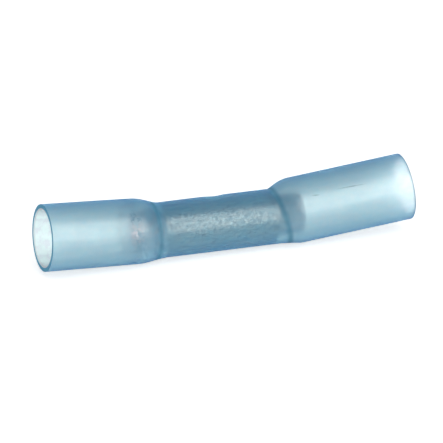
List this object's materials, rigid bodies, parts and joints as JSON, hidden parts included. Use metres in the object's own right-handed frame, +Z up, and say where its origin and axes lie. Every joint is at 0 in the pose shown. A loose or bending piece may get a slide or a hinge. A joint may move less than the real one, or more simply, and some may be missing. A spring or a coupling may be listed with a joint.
{
  "type": "heat-shrink butt splice connector",
  "caption": "Translucent blue heat-shrink sleeve shrunk at its middle onto a plated crimp barrel, with a wide open mouth for a wire at each end.",
  "frame": {"origin": "centre of the footprint, on the surface that the connector lies on", "axes": "+X along the connector towards its more bent end, +Z up"},
  "size_m": [0.0368, 0.0064, 0.0073],
  "materials": {
    "tinned_copper": "satin tin plate on copper",
    "hot_melt_adhesive": "waxy, translucent",
    "blue_polyolefin": "smooth, translucent"
  },
  "bodies": {
    "root": {"crimp_barrel": "tinned_copper", "adhesive_lining": "hot_melt_adhesive", "heat_shrink_sleeve": "blue_polyolefin"}
  },
  "joints": []
}
